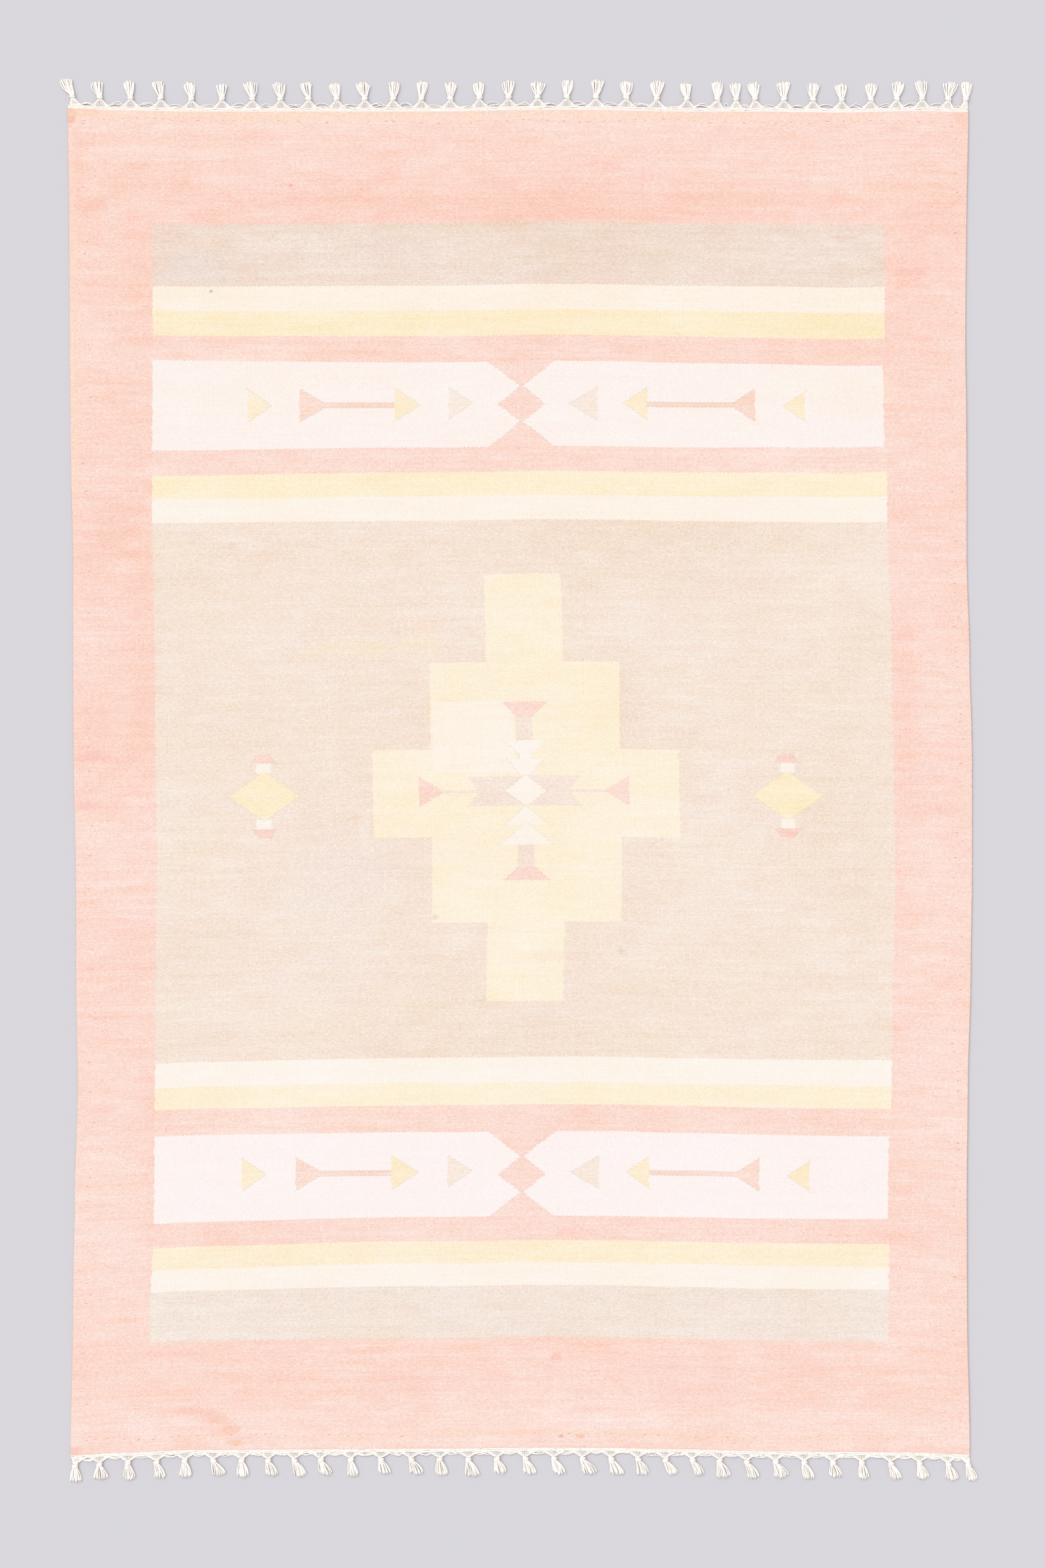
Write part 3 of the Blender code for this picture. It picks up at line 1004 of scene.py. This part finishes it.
def gathered_web(end, knot, span, neck, bow, chance):
    """The warps of one tassel, drawn together from the cloth's end to the neck of its knot."""
    warps = []
    for line in range(WEB_YARNS):
        share = (line + 0.5) / WEB_YARNS
        stray = chance.uniform(-WEB_ROOT_STRAY, WEB_ROOT_STRAY)
        root = span[0] + (span[1] - span[0]) * share + stray
        turn = math.pi * (share - 0.5)
        gathered = knot + NECK_WIDTH * math.sin(turn)
        rise = KNOT_MIDDLE - NECK_DROP + NECK_RISE * math.cos(turn) * (1 if line % 2 else -1)
        route = []
        for step in range(WEB_STEPS + 1):
            part = step / WEB_STEPS
            arch = part ** bow
            x = root + (gathered - root) * part
            z = WEB_START_RISE + (rise - WEB_START_RISE) * arch
            outwards = WEB_START + (neck + NECK_IN_KNOT - WEB_START) * arch
            route.append(past_end(end, x, x, outwards, z))
        warps.append(route)
    return warps


def overhand_knot(end, knot, lean, neck, chance):
    """The turns of one tassel's yarns round themselves."""
    wraps = []
    tilt_of_knot = chance.choice((-1, 1)) * chance.uniform(*WRAP_TILT)
    for wrap in range(KNOT_WRAPS):
        tilt = tilt_of_knot + chance.uniform(-WRAP_TILT_VARIES, WRAP_TILT_VARIES)
        swell = OUTER_WRAP if wrap in (0, KNOT_WRAPS - 1) else 1
        route = []
        for step in range(WRAP_STEPS + 1):
            turn = 2 * math.pi * (step / WRAP_STEPS * WRAP_TURNS + WRAP_OFFSET * wrap)
            x = knot + WRAP_WIDTH * swell * math.sin(turn) + lean * KNOT_LEAN
            z = KNOT_MIDDLE + WRAP_RISE * swell * math.cos(turn)
            outwards = neck + KNOT_START + WRAP_PITCH * wrap + tilt * math.sin(turn)
            route.append(past_end(end, knot, x, outwards, z))
        wraps.append(route)
    return wraps


def cut_tuft(end, knot, lean, neck, chance):
    """The cut ends of one tassel's yarns."""
    yarns = []
    width = chance.uniform(*TUFT_WIDTH)
    fullness = TUFT_LENGTH + chance.uniform(-TUFT_LENGTH_VARIES, TUFT_LENGTH_VARIES)
    for line in range(TUFT_YARNS):
        share = (line + 0.5) / TUFT_YARNS - 0.5
        turn = math.pi * share
        length = fullness - ROUND_TIP * (2 * share) ** 2 + chance.uniform(*YARN_LENGTH_VARIES)
        tip = width * share + chance.uniform(-TIP_STRAY, TIP_STRAY) + lean
        bend = chance.uniform(-BEND, BEND)
        start = START_WIDTH * math.sin(turn)
        upper = line % 2
        rise = KNOT_MIDDLE + START_RISE * math.cos(turn) * (1 if upper else -1)
        end_rise = chance.uniform(*UPPER_TIP_RISE) if upper else LOWER_TIP_RISE
        route = []
        for step in range(TUFT_STEPS + 1):
            part = step / TUFT_STEPS
            spread = 1 - (1 - part) ** FLARE
            x = knot + start + (tip - start) * spread + bend * math.sin(math.pi * part)
            z = rise + (end_rise - rise) * part ** DROOP
            outwards = neck + TUFT_START + (length + TUFT_IN_KNOT) * part
            girth = ROOT_SHARE + (TIP_SHARE - ROOT_SHARE) * part
            route.append(past_end(end, knot, x, outwards, z, girth))
        yarns.append(route)
    return yarns


def loose_yarns(end, knot, following, web, count, chance):
    """Yarns that missed a knot and hang loosely between two tassels."""
    yarns = []
    for strand in range(count):
        start = knot + chance.uniform(*LOOSE_FROM_KNOT)
        stop = following - chance.uniform(*LOOSE_FROM_KNOT)
        from_cloth = LOOSE_LEAST + web * chance.uniform(0.0, LOOSE_MOST_SHARE)
        swing = chance.uniform(-LOOSE_SWING, LOOSE_SWING)
        route = []
        for step in range(LOOSE_STEPS + 1):
            part = step / LOOSE_STEPS
            x = start + (stop - start) * part
            hang = math.sin(math.pi * part)
            outwards = LOOSE_START + (from_cloth - LOOSE_START) * hang ** LOOSE_HANG
            outwards += swing * math.sin(2 * math.pi * part)
            z = LOOSE_RISE + LOOSE_LAYER * (strand % 3) + LOOSE_HANG_RISE * hang
            route.append(past_end(end, x, x, outwards, z))
        yarns.append(route)
    return yarns


def fringe(end, rows, web, bow, loose_count, seed):
    """The header cords, webs, knots, tufts and loose yarns along one end of the rug."""
    chance = random.Random(seed)
    left, _, _, right = row_corners(0 if end == "top" else CLOTH_LENGTH)
    numbers = range(1, rows[-1][0] + 1)
    knots = [between_rows(rows, number, 1, ease=float) + SHIFT_X for number in numbers]
    leans = [between_rows(rows, number, 2) for number in numbers]
    middles = [(knot + following) / 2 for knot, following in zip(knots, knots[1:])]
    spans = zip([left + WEB_INSET] + middles, middles + [right - WEB_INSET])
    neck = HEADER_CORDS[-1] + NECK_GAP + web

    webs, wraps, tufts, loose = [], [], [], []
    for knot, lean, span in zip(knots, leans, spans):
        lean += chance.uniform(-LEAN_VARIES, LEAN_VARIES)
        webs += gathered_web(end, knot, span, neck, bow, chance)
        wraps += overhand_knot(end, knot, lean, neck, chance)
        tufts += cut_tuft(end, knot, lean, neck, chance)
    for knot, following in zip(knots, knots[1:]):
        loose += loose_yarns(end, knot, following, web, loose_count, chance)

    name = end + "_"
    header = header_cords(end, left, right, seed)
    return [
        yarn_piece(name + "header", header, HEADER_RADIUS, cotton_yarn, 4),
        yarn_piece(name + "webs", webs, WEB_RADIUS, cotton_yarn),
        yarn_piece(name + "knots", wraps, WRAP_RADIUS, cotton_yarn),
        yarn_piece(name + "tufts", tufts, TUFT_RADIUS, cotton_yarn),
        yarn_piece(name + "loose_yarns", loose, LOOSE_RADIUS, cotton_yarn, 4),
    ]


for end, rows, web, bow, loose_count, seed in FRINGES:
    for piece in fringe(end, rows, web, bow, loose_count, seed):
        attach(piece, "root")
        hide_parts("fringe_" + end)

# Floor, light and camera
# A plain pale studio floor, painted matt, under broad soft light that is a little stronger from the
# upper left. The camera looks straight down at the rug, as in the photograph.

FLOOR_SIZE = 60.0
FLOOR_GAP = 0.2

# Millimetres to a pixel of the photograph, its size, and the pixel where the middle of the cloth lies
PHOTO_SCALE = 0.905
PHOTO_SIZE = (1568, 2352)
PHOTO_ORIGIN = (781.3, 1171.3)
LENS = 80.0
SENSOR = 36.0
SKY_STRENGTH = 1.044
SOFTBOX_STRENGTH = 1.72
SOFTBOX_SPREAD = 60
SOFTBOX_TILT = -22

floor_mesh = bmesh.new()
bmesh.ops.create_grid(floor_mesh, x_segments=1, y_segments=1, size=FLOOR_SIZE / 2)
bmesh.ops.translate(floor_mesh, verts=floor_mesh.verts, vec=(0, 0, -FLOOR_GAP * MM))
floor_data = bpy.data.meshes.new("studio_floor")
floor_mesh.to_mesh(floor_data)
floor_mesh.free()
floor = bpy.data.objects.new("studio_floor", floor_data)
bpy.context.scene.collection.objects.link(floor)
floor_paint = bpy.data.materials.new("matt_floor_paint")
floor_paint.use_nodes = True
paint = floor_paint.node_tree.nodes["Principled BSDF"]
paint.inputs["Base Color"].default_value = linear("C9C8CC")
paint.inputs["Roughness"].default_value = 1.0
paint.inputs["Specular IOR Level"].default_value = 0.0
floor_data.materials.append(floor_paint)

world = bpy.data.worlds.new("studio")
world.use_nodes = True
sky = world.node_tree.nodes["Background"]
sky.inputs["Color"].default_value = linear("D9D8DD")
sky.inputs["Strength"].default_value = SKY_STRENGTH
bpy.context.scene.world = world

softbox = bpy.data.lights.new("softbox", "SUN")
softbox.energy = SOFTBOX_STRENGTH
softbox.angle = math.radians(SOFTBOX_SPREAD)
softbox.color = (1.0, 0.995, 0.95)
softbox_object = bpy.data.objects.new("softbox", softbox)
softbox_object.rotation_euler = (math.radians(SOFTBOX_TILT), math.radians(SOFTBOX_TILT), 0)
bpy.context.scene.collection.objects.link(softbox_object)

camera_data = bpy.data.cameras.new("camera")
camera_data.lens = LENS
camera_data.sensor_width = SENSOR
camera_data.clip_end = 200
camera = bpy.data.objects.new("camera", camera_data)
camera.location = (
    (PHOTO_SIZE[0] / 2 - PHOTO_ORIGIN[0]) * PHOTO_SCALE * MM + SHIFT_X * MM,
    (PHOTO_ORIGIN[1] - PHOTO_SIZE[1] / 2) * PHOTO_SCALE * MM + SHIFT_Y * MM,
    PHOTO_SIZE[1] * PHOTO_SCALE * MM * LENS / SENSOR,
)
bpy.context.scene.collection.objects.link(camera)
bpy.context.scene.camera = camera
bpy.context.scene.view_settings.view_transform = "Standard"
